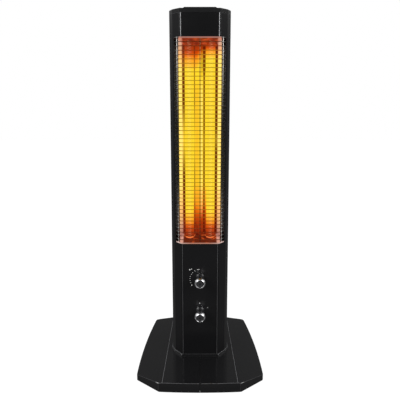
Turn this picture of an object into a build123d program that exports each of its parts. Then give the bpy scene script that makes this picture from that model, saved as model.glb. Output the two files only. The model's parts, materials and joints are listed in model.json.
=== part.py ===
from build123d import *
import os
from math import atan2, cos, degrees, hypot, radians, sin, tan

# Infrared patio heater tower, in millimetres. X is the width, Y the depth and Z the height.
# The lamps and the knobs face -Y. The origin is on the floor, under the middle of the base.

os.makedirs("parts", exist_ok=True)

# ---------------------------------------------------------------- driving dimensions

# Fits
fit = 0.3                    # gap between pieces that stand side by side
running = 0.05               # radial play of a shaft in its bush
thread_play = 0.1            # radial gap of a nut round its thread

# Base, a moulded cover in two halves over a steel ballast plate
base_depth = 369.0
base_width = 326.0           # across the shoulders, the widest place
base_front_width = 205.0     # between the front corners
base_back_width = 276.0
shoulder_depth = 56.5        # from the front edge back to the shoulders
front_bow = 4.0              # how far the front edge bulges between its corners
side_bow = 6.5
shoulder_radius = 8.0
back_radius = 10.0
rim_bottom = 1.5             # height of the cover's lower edge above the floor
plateau_top = 27.0           # height of the flat middle strip of the top
side_rim = 17.0              # height of the rim at the shoulders
crease_front = 188.0         # between the top's two creases, at the front edge
crease_back = 168.0          # and at the back edge
base_wall = 3.0
collar_rise = 6.5            # of the collar round the column, above the top
collar_wall = 1.5            # at its upper edge
collar_taper = 12.0          # lean of its outer side, in degrees
seam = 0.3                   # gap between the two halves of the cover
boss_radius = 6.0
boss_places = [(48, -150), (124, -30), (48, 150)]

# Ballast plate, feet and the column's foot bracket
foot_height = 5.0
foot_width = 24.0            # square pads
foot_corner = 4.0
foot_places = [(122, -124), (108, 142)]
ballast_thickness = 6.0
ballast_margin = 1.0
bracket_thickness = 3.0
bracket_width = 190.0
bracket_depth = 140.0
bracket_corner = 8.0
bracket_upright = 60.0       # height of the two ears that hold the column
bracket_ear = 14.0           # width of an ear
screw_head_radius = 4.5
screw_head_height = 1.6

# Column
column_width = 150.0
column_depth = 104.0
column_front = 98.0          # flat front with its two edge strips
shoulder_width = 134.0       # where the facet turns into the steep strip
facet_depth = 23.0
side_flat = 16.0
column_wall = 2.0
column_top = 912.0
panel_width = 89.2
panel_thickness = 2.0
panel_gap = 0.4              # groove beside a panel
ledge_width = 8.0            # what a panel lies on, inside its edge
cap_height = 10.0
cap_chamfer = 1.2
cap_plug = 6.0
ridge_height = 2.0           # raised middle of the cap
ridge_width = 80.0
ridge_slope = 3.0            # run of each sloped end of the ridge

# Window
window_bottom = 345.0
head_height = 54.0           # from the window up to the top of the column
window_width = 126.0

# Wire guard
wire = 2.0                   # across the flats of a wire
wire_sides = 6               # each wire is faceted
wire_pitch = 10.0
rail_height = 3.0
side_wire_setback = 7.0      # from the guard's edge to its side wire

# Reflector, a folded sheet with two troughs
sheet = 0.8
trough_back = 8.0            # depth of the troughs' floor, as a Y value
reflector_width = 104.0
reflector_front = -32.0      # Y of the reflector's free edges
trough_outer = 41.0
trough_inner = 12.5
ridge_front = -12.0          # Y of the fold between the troughs
fold_radius = 3.0
end_rise = 16.0              # how far an end plate climbs from front to back
end_back = 10.0
end_inset = 3.2              # from the column's outline to an end plate
end_leg_width = 60.0

# Lamps
lamp_spacing = 54.0
lamp_depth = -15.0           # Y of the lamps' axes
tube_radius = 11.0
tube_wall = 1.5
tube_fit = 0.2
filament_width = 5.0         # flat carbon ribbon
filament_thickness = 0.6
lamp_hole_radius = 13.0
cap_width = 27.0             # ceramic block, square in plan
cap_corner = 5.0
cap_flange_width = 32.0
cap_flange = 3.0
cap_tail = 11.5              # ceramic beyond its flange
cap_nose = 13.5              # ceramic before its flange
socket_depth = 8.0
holder_setback = 21.5        # from the window's end to the lamp holder plate
holder_thickness = 1.5
holder_depth = 94.0

# Heat shield and thermal cut-out
shield_back = 20.0           # Y of the shield's front face
shield_rib = 6.0
cutout_radius = 8.0
cutout_thickness = 9.0
cutout_drop = 58.0           # below the top of the window

# Back panel
vent_length = 56.0
vent_height = 4.0
vent_pitch = 11.0
vent_rows = 7
vent_low = 250.0             # height of the middle of the lowest group
vent_drop = 192.0            # middle of the highest group, below the top of the column

# Controls
thermostat_height = 251.5
power_switch_height = 158.0
control_width = 40.0
control_depth = 30.0
control_corner = 4.0
bush_radius = 5.0
bush_reach = 3.0             # of the threaded bush past the front of the panel
shaft_radius = 3.0
shaft_seat = 16.0            # depth of the shaft's hole behind the panel
nut_width = 14.0             # across the flats
nut_height = 2.5
knob_gap = 0.5               # between the knob's flange and the panel
knob_reach = 44.0            # of the knob past the front of the panel
knob_flange_radius = 12.5
knob_foot = 12.0             # length of the cone from the flange to the neck
knob_neck_radius = 9.9
knob_flare = 7.0             # length of the cone from the neck to the head
knob_head_radius = 14.5
knob_head = 8.0              # length of the head, which tapers to its lip
knob_lip_radius = 10.8
knob_rim = 1.5               # width of the rim round the hollow in the head
knob_dish = 1.5              # depth of that hollow
knob_sides = 32              # flats round each band of the knob
knob_grip = 30.0             # length of shaft held in the knob
nut_room = 1.6               # round the nut, inside the knob

# Wiring
terminal_width = 48.0
terminal_depth = 16.0
terminal_rise = 20.0
terminal_height = 112.0
terminal_ways = 4
terminal_slot = 7.0
tip_switch_width = 26.0
tip_switch_depth = 24.0
tip_switch_rise = 32.0
tip_switch_corner = 2.0
gland_height = 70.0
gland_bore = 4.0
gland_thread = 6.0
gland_hex = 17.0
gland_reach = 12.0
gland_dome = 7.0             # half the width of the clamping nut
gland_nut = 4.0
gland_chamfer = 1.5          # round the mouth where a cord comes out

# ---------------------------------------------------------------- places worked out from them

front = -column_depth / 2
panel_back = front + panel_thickness
base_front = -base_depth / 2
ballast_bottom = foot_height
ballast_top = ballast_bottom + ballast_thickness
column_foot = ballast_top + bracket_thickness
cap_top = column_top + cap_height
window_top = column_top - head_height
vent_high = column_top - vent_drop
lower_holder = window_bottom - holder_setback - holder_thickness
upper_holder = window_top + holder_setback
shield_bottom = lower_holder + holder_thickness
lamp_places = [(-lamp_spacing / 2, lamp_depth), (lamp_spacing / 2, lamp_depth)]

column_corners = [
    (column_front / 2, front),
    (shoulder_width / 2, front + facet_depth),
    (column_width / 2, -side_flat / 2),
]
base_corners = [
    (base_front_width / 2, base_front + front_bow),
    (base_width / 2, base_front + shoulder_depth),
    (base_back_width / 2, -base_front),
]


def mirrored(points):
    """A closed outline from the points of its right half, given from front to back."""
    return points + [(-x, y) for x, y in reversed(points)]


def both_sides(places):
    """The places given for the right half, and the same on the left."""
    return places + [(-x, y) for x, y in places]


def column_section(inset=0.0):
    """The column's outline in plan, moved inward by inset."""
    right = column_corners + [(x, -y) for x, y in reversed(column_corners)]
    with BuildSketch() as section:
        Polygon(*mirrored(right), align=None)
        if inset:
            offset(amount=-inset, kind=Kind.INTERSECTION)
    return section.sketch


def base_section(inset=0.0):
    """The base's outline in plan, with bowed front and sides, moved inward by inset."""
    front_right, right_shoulder, back_right = base_corners
    front_left, left_shoulder, back_left = [(-x, y) for x, y in base_corners]
    with BuildSketch() as section:
        with BuildLine():
            SagittaArc(front_left, front_right, -front_bow)
            Line(front_right, right_shoulder)
            SagittaArc(right_shoulder, back_right, -side_bow)
            Line(back_right, back_left)
            SagittaArc(back_left, left_shoulder, -side_bow)
            Line(left_shoulder, front_left)
        make_face()
        fillet(section.vertices().group_by(Axis.Y)[-1], back_radius)
        fillet(section.vertices().group_by(Axis.Y)[0], shoulder_radius)
        fillet(section.vertices().sort_by(Axis.X)[0], shoulder_radius)
        fillet(section.vertices().sort_by(Axis.X)[-1], shoulder_radius)
        if inset:
            offset(amount=-inset, kind=Kind.INTERSECTION)
    return section.sketch


def save(piece, name):
    """Label a finished piece and write it."""
    piece.part.label = name
    export_step(piece.part, f"parts/{name}.step")


# ---------------------------------------------------------------- base

def slope_plane(side, drop):
    """The slope from a crease of the top down to one side of the rim, lowered by drop."""
    crease_start = Vector(side * crease_front / 2, base_front, plateau_top - drop)
    crease_end = Vector(side * crease_back / 2, -base_front, plateau_top - drop)
    shoulder = Vector(side * base_width / 2, base_front + shoulder_depth, side_rim - drop)
    normal = (crease_end - crease_start).cross(shoulder - crease_start) * -side
    return Plane(origin=crease_start, z_dir=normal)


def cover_form(inset, drop):
    """The cover's outer form, or its hollow when moved inward by inset and down by drop."""
    with BuildPart() as form:
        with BuildSketch(Plane.XY.offset(rim_bottom)):
            add(base_section(inset))
        extrude(amount=plateau_top - drop - rim_bottom)
        for side in (-1, 1):
            split(bisect_by=slope_plane(side, drop), keep=Keep.BOTTOM)
    return form.part


with BuildPart() as cover_hollow:
    add(cover_form(base_wall, base_wall))
    with BuildSketch(Plane.XY.offset(ballast_top)):
        with Locations(*both_sides(boss_places)):
            RegularPolygon(boss_radius, 6)
    extrude(amount=plateau_top, mode=Mode.SUBTRACT)

with BuildPart() as base_cover:
    add(cover_form(0, 0))
    add(cover_hollow.part, mode=Mode.SUBTRACT)
    with BuildSketch(Plane.XY.offset(plateau_top)):
        add(column_section(-fit - collar_wall - collar_rise * tan(radians(collar_taper))))
    extrude(amount=collar_rise, taper=collar_taper)
    with BuildSketch(Plane.XY.offset(ballast_top)):
        add(column_section(-fit))
    extrude(amount=plateau_top + collar_rise, mode=Mode.SUBTRACT)

with BuildPart() as base_right_half:
    add(base_cover.part)
    split(bisect_by=Plane.YZ.offset(seam / 2), keep=Keep.TOP)
save(base_right_half, "base_right_half")

with BuildPart() as base_left_half:
    add(base_cover.part)
    split(bisect_by=Plane.YZ.offset(-seam / 2), keep=Keep.BOTTOM)
save(base_left_half, "base_left_half")

with BuildPart() as ballast_plate:
    with BuildSketch(Plane.XY.offset(ballast_bottom)):
        add(base_section(base_wall + ballast_margin))
    extrude(amount=ballast_thickness)
save(ballast_plate, "ballast_plate")

with BuildPart() as base_screws:
    with BuildSketch(Plane.XY.offset(ballast_bottom - screw_head_height)):
        with Locations(*both_sides(boss_places)):
            RegularPolygon(screw_head_radius, 6)
    extrude(amount=screw_head_height)
save(base_screws, "base_screws")

with BuildPart() as rubber_feet:
    with BuildSketch() as feet:
        with Locations(*both_sides(foot_places)):
            Rectangle(foot_width, foot_width)
        chamfer(feet.vertices(), foot_corner)
    extrude(amount=foot_height)
save(rubber_feet, "rubber_feet")

with BuildPart() as foot_bracket:
    with BuildSketch(Plane.XY.offset(ballast_top)):
        plate = Rectangle(bracket_width, bracket_depth)
        chamfer(plate.vertices(), bracket_corner)
    extrude(amount=bracket_thickness)
    ear_place = column_width / 2 - column_wall - fit - bracket_thickness / 2
    with BuildSketch(Plane.XY.offset(column_foot)):
        with Locations((-ear_place, 0), (ear_place, 0)):
            Rectangle(bracket_thickness, bracket_ear)
    extrude(amount=bracket_upright)
save(foot_bracket, "foot_bracket")

# ---------------------------------------------------------------- column

ledge_start = panel_width / 2 - ledge_width
ledge_back = column_depth / 2 - panel_thickness - column_wall
panel_edge = panel_width / 2 + panel_gap

with BuildPart() as column_right_side:
    with BuildSketch(Plane.XY.offset(column_foot)):
        add(column_section())
        add(column_section(column_wall), mode=Mode.SUBTRACT)
        with Locations((panel_edge, 0)):
            Rectangle(column_width, column_depth, align=(Align.MIN, Align.CENTER), mode=Mode.INTERSECT)
        for side in (-1, 1):
            with Locations((ledge_start, side * (ledge_back + column_wall / 2))):
                Rectangle(column_front / 2 - ledge_start, column_wall, align=(Align.MIN, Align.CENTER))
    extrude(amount=column_top - column_foot)
    with BuildSketch(Plane.XY.offset(window_bottom)):
        Rectangle(window_width, column_depth, align=(Align.CENTER, Align.MAX))
    extrude(amount=window_top - window_bottom, mode=Mode.SUBTRACT)
save(column_right_side, "column_right_side")

with BuildPart() as column_left_side:
    mirror(column_right_side.part, about=Plane.YZ)
save(column_left_side, "column_left_side")

with BuildPart() as control_panel:
    with BuildSketch(Plane.XY.offset(column_foot)):
        with Locations((0, front)):
            Rectangle(panel_width, panel_thickness, align=(Align.CENTER, Align.MIN))
    extrude(amount=window_bottom - column_foot)
    with BuildSketch(Plane.XZ.offset(-front)):
        with Locations((0, thermostat_height), (0, power_switch_height)):
            Circle(bush_radius + thread_play)
    extrude(amount=-panel_thickness, mode=Mode.SUBTRACT)
save(control_panel, "control_panel")

with BuildPart() as head_panel:
    with BuildSketch(Plane.XY.offset(window_top)):
        with Locations((0, front)):
            Rectangle(panel_width, panel_thickness, align=(Align.CENTER, Align.MIN))
    extrude(amount=column_top - window_top)
save(head_panel, "head_panel")

with BuildPart() as back_panel:
    with BuildSketch(Plane.XY.offset(column_foot)):
        with Locations((0, -front)):
            Rectangle(panel_width, panel_thickness, align=(Align.CENTER, Align.MAX))
    extrude(amount=column_top - column_foot)
    with BuildSketch(Plane.XZ.offset(front)):
        for height in (vent_low, (vent_low + vent_high) / 2, vent_high):
            with Locations((0, height)):
                with GridLocations(0, vent_pitch, 1, vent_rows):
                    Rectangle(vent_length, vent_height)
        with Locations((0, gland_height)):
            Circle(gland_thread + thread_play)
    extrude(amount=panel_thickness, mode=Mode.SUBTRACT)
save(back_panel, "back_panel")

with BuildPart() as top_cap:
    with BuildSketch(Plane.XY.offset(column_top)):
        add(column_section())
    extrude(amount=cap_height)
    chamfer(top_cap.faces().sort_by(Axis.Z)[-1].edges(), cap_chamfer)
    with BuildSketch(Plane.XZ.offset(-front - cap_chamfer)):
        with Locations((0, cap_top)):
            Trapezoid(ridge_width, ridge_height, degrees(atan2(ridge_height, ridge_slope)),
                      align=(Align.CENTER, Align.MIN))
    extrude(amount=2 * (front + cap_chamfer))
    with BuildSketch(Plane.XY.offset(column_top)):
        add(column_section(column_wall + fit))
        Rectangle(column_width, 2 * ledge_back - 2 * fit, mode=Mode.INTERSECT)
    extrude(amount=-cap_plug)
save(top_cap, "top_cap")

# ---------------------------------------------------------------- wire guard

facet_run = column_corners[1][0] - column_corners[0][0]
guard_edge = window_width / 2 - wire / 2 - fit
guard_edge_y = front + (guard_edge - column_front / 2) * facet_depth / facet_run
guard_route = [
    (-guard_edge, guard_edge_y),
    (-column_front / 2, front),
    (column_front / 2, front),
    (guard_edge, guard_edge_y),
]
guard_bottom = window_bottom + fit
guard_top = window_top - fit


def guard_run(height, tall=None):
    """One horizontal wire of the guard, or a rail where tall is given, bent along the column."""
    with BuildPart() as run:
        with BuildLine(Plane.XY.offset(height)) as route:
            Polyline(*guard_route)
        with BuildSketch(Plane(origin=route.line @ 0, x_dir=(0, 0, 1), z_dir=route.line % 0)):
            if tall:
                Rectangle(tall, wire)
            else:
                RegularPolygon(wire / 2, wire_sides, major_radius=False)
        sweep(transition=Transition.RIGHT)
    return run.part


with BuildPart() as wire_guard:
    rails = [guard_bottom + rail_height / 2, guard_top - rail_height / 2]
    add([guard_run(height, rail_height) for height in rails])
    wire_count = int((rails[1] - rails[0]) // wire_pitch)
    first_wire = (rails[0] + rails[1] - (wire_count - 1) * wire_pitch) / 2
    add([guard_run(first_wire + number * wire_pitch) for number in range(wire_count)])
    facet_length = hypot(facet_run, facet_depth)
    side_x = guard_edge - (side_wire_setback * facet_run + wire * facet_depth) / facet_length
    side_y = guard_edge_y - (side_wire_setback * facet_depth - wire * facet_run) / facet_length
    facet_angle = degrees(atan2(facet_depth, facet_run))
    with BuildSketch(Plane.XY.offset(guard_bottom)):
        with Locations((0, front + wire)):
            Rectangle(wire, wire)
        for side in (-1, 1):
            with Locations((side * side_x, side_y)):
                Rectangle(wire, wire, rotation=side * facet_angle)
    extrude(amount=guard_top - guard_bottom)
save(wire_guard, "wire_guard")

# ---------------------------------------------------------------- reflector and heat shield

end_front = front + end_inset
lower_end_front = window_bottom + sheet
upper_end_front = window_top - sheet


def end_plate(front_height, up, holder_face):
    """A reflector's end plate: it climbs from the window's edge and stands on its lamp holder."""
    back_height = front_height + up * end_rise
    with BuildPart() as plate:
        with BuildSketch(Plane.YZ):
            with BuildLine():
                Polyline((end_front, front_height), (end_back, back_height),
                         (end_back, back_height - up * sheet), (end_front, front_height - up * sheet),
                         close=True)
            make_face()
        extrude(amount=column_width / 2, both=True)
        with BuildSketch(Plane.XY.offset(front_height - up * sheet)):
            add(column_section(end_inset))
            Rectangle(window_width - 2 * fit, column_depth, mode=Mode.INTERSECT)
        extrude(amount=up * (end_rise + 2 * sheet), mode=Mode.INTERSECT)
        leg_heights = {end_front: front_height, end_back - sheet: back_height}
        for place, height in leg_heights.items():
            with BuildSketch(Plane.XY.offset(holder_face)):
                with Locations((0, place)):
                    Rectangle(end_leg_width, sheet, align=(Align.CENTER, Align.MIN))
            extrude(amount=height - up * sheet / 2 - holder_face)
        with BuildSketch(Plane.XY.offset(holder_face)):
            with Locations(*lamp_places):
                Circle(lamp_hole_radius)
        extrude(amount=back_height - holder_face + up * sheet, mode=Mode.SUBTRACT)
    return plate.part


with BuildPart() as lower_reflector_end:
    add(end_plate(lower_end_front, 1, lower_holder + holder_thickness))
save(lower_reflector_end, "lower_reflector_end")

with BuildPart() as upper_reflector_end:
    add(end_plate(upper_end_front, -1, upper_holder))
save(upper_reflector_end, "upper_reflector_end")

with BuildPart() as reflector:
    with BuildSketch(Plane.XY.offset(window_bottom)):
        with BuildLine():
            right_folds = [
                (reflector_width / 2, reflector_front),
                (trough_outer, trough_back),
                (trough_inner, trough_back),
            ]
            left_folds = [(-x, y) for x, y in right_folds]
            FilletPolyline(*left_folds, (0, ridge_front), *reversed(right_folds), radius=fold_radius)
            offset(amount=sheet, side=Side.LEFT)
        make_face()
    extrude(amount=window_top - window_bottom)
    with BuildSketch(Plane.YZ):
        with BuildLine():
            Polyline((end_front, lower_end_front), (end_back, lower_end_front + end_rise),
                     (end_back, upper_end_front - end_rise), (end_front, upper_end_front), close=True)
        make_face()
    extrude(amount=column_width / 2, both=True, mode=Mode.INTERSECT)
save(reflector, "reflector")


def cap_outlines(margin=0.0):
    """Both lamps' ceramic blocks in plan, grown by margin."""
    with BuildSketch() as outlines:
        with Locations(*lamp_places):
            Rectangle(cap_width + 2 * margin, cap_width + 2 * margin)
        chamfer(outlines.vertices(), cap_corner)
    return outlines.sketch


def lamp_holder(height):
    """A plate across the column that holds one end of both lamps."""
    with BuildPart() as plate:
        with BuildSketch(Plane.XY.offset(height)):
            add(column_section(column_wall + fit))
            Rectangle(column_width, holder_depth, mode=Mode.INTERSECT)
            add(cap_outlines(fit), mode=Mode.SUBTRACT)
        extrude(amount=holder_thickness)
    return plate.part


with BuildPart() as lower_lamp_holder:
    add(lamp_holder(lower_holder))
save(lower_lamp_holder, "lower_lamp_holder")

with BuildPart() as upper_lamp_holder:
    add(lamp_holder(upper_holder))
save(upper_lamp_holder, "upper_lamp_holder")

with BuildPart() as heat_shield:
    with BuildSketch(Plane.XY.offset(shield_bottom)):
        add(column_section(column_wall + fit))
        with Locations((0, shield_back)):
            Rectangle(column_width, sheet, align=(Align.CENTER, Align.MIN), mode=Mode.INTERSECT)
        for side in (-1, 1):
            with Locations((side * column_front / 2, shield_back)):
                Rectangle(sheet, shield_rib, align=(Align.CENTER, Align.MIN))
    extrude(amount=upper_holder - shield_bottom)
save(heat_shield, "heat_shield")

with BuildPart() as thermal_cutout:
    with BuildSketch(Plane.XZ.offset(-shield_back - sheet)):
        with Locations((0, window_top - cutout_drop)):
            Circle(cutout_radius)
    extrude(amount=-cutout_thickness)
save(thermal_cutout, "thermal_cutout")

# ---------------------------------------------------------------- lamps

lower_flange = lower_holder + holder_thickness
upper_flange = upper_holder
lower_socket = lower_flange + cap_nose - socket_depth
upper_socket = upper_flange - cap_nose + socket_depth


with BuildPart() as lamp_end_caps:
    for flange_face, up in ((lower_flange, 1), (upper_flange, -1)):
        with BuildSketch(Plane.XY.offset(flange_face - up * cap_tail)):
            add(cap_outlines())
        extrude(amount=up * (cap_tail + cap_nose))
        with BuildSketch(Plane.XY.offset(flange_face)):
            with Locations(*lamp_places):
                Rectangle(cap_flange_width, cap_flange_width)
        extrude(amount=up * cap_flange)
        with BuildSketch(Plane.XY.offset(flange_face + up * cap_nose)):
            with Locations(*lamp_places):
                Circle(tube_radius + tube_fit)
        extrude(amount=-up * socket_depth, mode=Mode.SUBTRACT)
save(lamp_end_caps, "lamp_end_caps")

for side, place in zip(("left", "right"), lamp_places):
    with BuildPart() as lamp_tube:
        with BuildSketch(Plane.XY.offset(lower_socket)):
            with Locations(place):
                Circle(tube_radius)
                Circle(tube_radius - tube_wall, mode=Mode.SUBTRACT)
        extrude(amount=upper_socket - lower_socket)
    save(lamp_tube, f"{side}_lamp_tube")

    with BuildPart() as filament:
        with BuildSketch(Plane.XY.offset(lower_socket)):
            with Locations(place):
                Rectangle(filament_width, filament_thickness)
        extrude(amount=upper_socket - lower_socket)
    save(filament, f"{side}_filament")

# ---------------------------------------------------------------- controls


def control_body(height):
    """A rotary control behind the panel, with a threaded bush through it and a blind hole."""
    with BuildPart() as body:
        with BuildSketch(Plane.XZ.offset(-panel_back)):
            with Locations((0, height)):
                Rectangle(control_width, control_width)
        extrude(amount=-control_depth)
        chamfer(body.edges().filter_by(Axis.Y), control_corner)
        with BuildSketch(Plane.XZ.offset(-panel_back)):
            with Locations((0, height)):
                Circle(bush_radius)
        extrude(amount=panel_thickness + bush_reach)
        with BuildSketch(Plane.XZ.offset(-front + bush_reach)):
            with Locations((0, height)):
                Circle(shaft_radius + running)
        extrude(amount=-bush_reach - panel_thickness - shaft_seat, mode=Mode.SUBTRACT)
    return body.part


def control_nut(height):
    """The hexagon nut that clamps a control to the panel."""
    with BuildPart() as nut:
        with BuildSketch(Plane.XZ.offset(-front)):
            with Locations((0, height)):
                RegularPolygon(nut_width / 2, 6, major_radius=False)
                Circle(bush_radius + thread_play, mode=Mode.SUBTRACT)
        extrude(amount=nut_height)
    return nut.part


def control_shaft(height):
    """The shaft that turns in the bush and carries the knob."""
    with BuildPart() as shaft:
        with BuildSketch(Plane.XZ.offset(-panel_back - shaft_seat + fit)):
            with Locations((0, height)):
                Circle(shaft_radius)
        extrude(amount=shaft_seat - fit + panel_thickness + bush_reach + knob_grip)
    return shaft.part


def turned_knob(height):
    """A mushroom knob with knob_sides flats: each pass trims it to its outline seen from one side."""
    neck_start = knob_gap + knob_foot
    head_start = knob_reach - knob_head
    half_outline = [
        (knob_flange_radius, knob_gap),
        (knob_neck_radius, neck_start),
        (knob_neck_radius, head_start - knob_flare),
        (knob_head_radius, head_start),
        (knob_lip_radius, knob_reach),
    ]
    with BuildPart() as knob:
        for number in range(knob_sides // 2):
            turn = radians(360 * number / knob_sides)
            from_side = Plane(origin=(0, front, height), x_dir=(cos(turn), 0, sin(turn)),
                              z_dir=(sin(turn), 0, -cos(turn)))
            with BuildSketch(from_side):
                Polygon(*mirrored(half_outline), align=None)
            extrude(amount=2 * knob_head_radius, both=True, mode=Mode.INTERSECT if number else Mode.ADD)
        with BuildSketch(Plane.XZ.offset(-front + knob_reach)):
            with Locations((0, height)):
                RegularPolygon(knob_lip_radius - knob_rim, knob_sides, major_radius=False)
        extrude(amount=-knob_dish, mode=Mode.SUBTRACT)
        bores = [
            (nut_width / 2 + nut_room, bush_reach + knob_gap),
            (shaft_radius + running, bush_reach + knob_grip + fit),
        ]
        for radius, depth in bores:
            with BuildSketch(Plane.XZ.offset(-front)):
                with Locations((0, height)):
                    Circle(radius)
            extrude(amount=depth, mode=Mode.SUBTRACT)
    return knob.part


for control, height in (("thermostat", thermostat_height), ("power_switch", power_switch_height)):
    with BuildPart() as body:
        add(control_body(height))
    save(body, f"{control}_body")

    with BuildPart() as nut:
        add(control_nut(height))
    save(nut, f"{control}_nut")

    with BuildPart() as shaft:
        add(control_shaft(height))
    save(shaft, f"{control}_shaft")

    with BuildPart() as knob:
        add(turned_knob(height))
    save(knob, f"{control}_knob")

# ---------------------------------------------------------------- wiring

back_inner = -front - panel_thickness

with BuildPart() as terminal_block:
    with BuildSketch(Plane.XY.offset(terminal_height)):
        with Locations((0, back_inner)):
            Rectangle(terminal_width, terminal_depth, align=(Align.CENTER, Align.MAX))
    extrude(amount=terminal_rise)
    with BuildSketch(Plane.XY.offset(terminal_height + terminal_rise)):
        with Locations((0, back_inner - terminal_depth)):
            with GridLocations(terminal_width / terminal_ways, 0, terminal_ways, 1):
                Rectangle(terminal_slot, terminal_slot)
    extrude(amount=-terminal_rise, mode=Mode.SUBTRACT)
save(terminal_block, "terminal_block")

with BuildPart() as tip_over_switch:
    with BuildSketch(Plane.XY.offset(column_foot)):
        Rectangle(tip_switch_width, tip_switch_depth)
    extrude(amount=tip_switch_rise)
    chamfer(tip_over_switch.edges().filter_by(Axis.Z), tip_switch_corner)
save(tip_over_switch, "tip_over_switch")

with BuildPart() as cable_gland:
    with BuildSketch(Plane.XZ.offset(front)):
        with Locations((0, gland_height)):
            RegularPolygon(gland_hex / 2, 6, major_radius=False)
    extrude(amount=-gland_reach / 2)
    with BuildSketch(Plane.XZ.offset(front - gland_reach / 2)):
        with Locations((0, gland_height)):
            RegularPolygon(gland_dome, 6, major_radius=False)
    extrude(amount=-gland_reach / 2)
    chamfer(cable_gland.faces().sort_by(Axis.Y)[-1].edges(), gland_chamfer)
    with BuildSketch(Plane.XZ.offset(front)):
        with Locations((0, gland_height)):
            Circle(gland_thread)
    extrude(amount=panel_thickness + gland_nut + 1)
    with BuildSketch(Plane.XZ.offset(front - gland_reach)):
        with Locations((0, gland_height)):
            Circle(gland_bore)
    extrude(amount=gland_reach + panel_thickness + gland_nut + 1, mode=Mode.SUBTRACT)
save(cable_gland, "cable_gland")

with BuildPart() as gland_locknut:
    with BuildSketch(Plane.XZ.offset(-back_inner)):
        with Locations((0, gland_height)):
            RegularPolygon(gland_hex / 2, 6, major_radius=False)
            Circle(gland_thread + thread_play, mode=Mode.SUBTRACT)
    extrude(amount=gland_nut)
save(gland_locknut, "gland_locknut")
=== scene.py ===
import json
import math

import bmesh
import bpy
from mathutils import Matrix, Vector


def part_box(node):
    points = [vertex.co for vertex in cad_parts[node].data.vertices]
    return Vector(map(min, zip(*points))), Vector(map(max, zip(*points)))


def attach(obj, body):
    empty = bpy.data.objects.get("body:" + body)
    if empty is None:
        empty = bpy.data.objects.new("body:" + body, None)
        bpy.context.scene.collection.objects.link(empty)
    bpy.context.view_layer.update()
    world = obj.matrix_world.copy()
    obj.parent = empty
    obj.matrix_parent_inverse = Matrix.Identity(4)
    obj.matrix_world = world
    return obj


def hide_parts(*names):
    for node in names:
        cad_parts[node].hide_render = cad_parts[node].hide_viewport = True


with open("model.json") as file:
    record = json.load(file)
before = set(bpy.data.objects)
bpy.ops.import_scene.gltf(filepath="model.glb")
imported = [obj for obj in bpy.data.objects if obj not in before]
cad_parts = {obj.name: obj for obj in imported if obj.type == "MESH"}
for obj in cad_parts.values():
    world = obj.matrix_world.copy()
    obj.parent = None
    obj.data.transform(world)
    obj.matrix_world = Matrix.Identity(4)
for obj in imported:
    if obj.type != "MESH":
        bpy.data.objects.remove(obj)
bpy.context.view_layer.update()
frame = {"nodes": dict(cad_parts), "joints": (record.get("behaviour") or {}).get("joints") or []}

# Infrared patio heater tower, in metres. The lamps and the knobs face -Y, and the floor is at Z = 0.

nodes = frame["nodes"]

# ---------------------------------------------------------------- sizes read from the frame

guard_low, guard_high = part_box("wire_guard")
panel_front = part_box("control_panel")[0].y
joint_places = {joint["child"]: Vector(joint["pos_m"]) for joint in frame["joints"]}

# ---------------------------------------------------------------- sizes of the pieces made here

column_front_half = 0.049        # half the column's flat front
wire_radius = 0.0010
wire_sides = 10
wire_count = 50
wire_pitch = 0.010
wires_apart = wire_radius * 1.9  # between the middles of two wires that are welded where they cross
wire_bend = 0.005                # how early a wire starts to turn round a corner of the column
rail_half_height = 0.0015
side_wire_setback = 0.007
print_thickness = 0.00015
wall_lean = 0.275                # how far a reflector wall leans outward for each metre forward
wall_foot = 0.0432               # its distance from the middle where Y is 0
end_plate_climb = 0.2722         # rise of an end plate for each metre backward
eyelet_radius = 0.0136
eyelet_wire = 0.0014
eyelet_steps = 48
knob_segments = 96
lip_middle = 0.0456              # from the middle of the column to the middle of a lip
lip_half_width = 0.0009
trough_edge = 0.0420             # from the middle to where the outer wall of a trough starts
foot_glow_top = 0.400            # the height at which the red foot of the window starts


def guard_side_wire():
    """Where the guard's side wires stand: inside the slanted part, a little short of its end."""
    corner = Vector((column_front_half, guard_low.y + wire_radius, 0))
    end = Vector((guard_high.x - wire_radius, guard_high.y - wire_radius, 0))
    slope = (end - corner).normalized()
    inward = Vector((-slope.y, slope.x, 0))
    return end - slope * side_wire_setback + inward * wires_apart


# ---------------------------------------------------------------- shader node helpers

def srgb(red, green, blue):
    """A colour given as on a screen, 0 to 255, turned to linear light."""
    def linear(value):
        value /= 255
        return value / 12.92 if value <= 0.04045 else ((value + 0.055) / 1.055) ** 2.4
    return (linear(red), linear(green), linear(blue), 1.0)


def new_group(name, inputs, outputs):
    """A shader node group with named sockets. Inputs map a name to its first value."""
    group = bpy.data.node_groups.new(name, "ShaderNodeTree")
    for label, value in inputs.items():
        kind = "NodeSocketFloat" if isinstance(value, float) else "NodeSocketColor"
        group.interface.new_socket(label, in_out="INPUT", socket_type=kind).default_value = value
    for label, kind in outputs.items():
        group.interface.new_socket(label, in_out="OUTPUT", socket_type=kind)
    return group, group.nodes.new("NodeGroupInput"), group.nodes.new("NodeGroupOutput")


def math_node(tree, operation, *values, clamp=False):
    """A maths node on numbers or sockets, and its result."""
    node = tree.nodes.new("ShaderNodeMath")
    node.operation = operation
    node.use_clamp = clamp
    for socket, value in zip(node.inputs, values):
        if isinstance(value, (int, float)):
            socket.default_value = value
        else:
            tree.links.new(value, socket)
    return node.outputs[0]


def ramp(tree, value, start, end):
    """0 up to start, 1 from end on, and an even slope between. End may be the lower of the two."""
    gain = 1 / (end - start)
    return math_node(tree, "MULTIPLY_ADD", value, gain, -start * gain, clamp=True)


def product(tree, first, *others):
    """Several masks multiplied."""
    for other in others:
        first = math_node(tree, "MULTIPLY", first, other)
    return first


def distance_from(tree, value, centre):
    """How far a value is from a centre, on either side."""
    return math_node(tree, "ABSOLUTE", math_node(tree, "SUBTRACT", value, centre))


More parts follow.
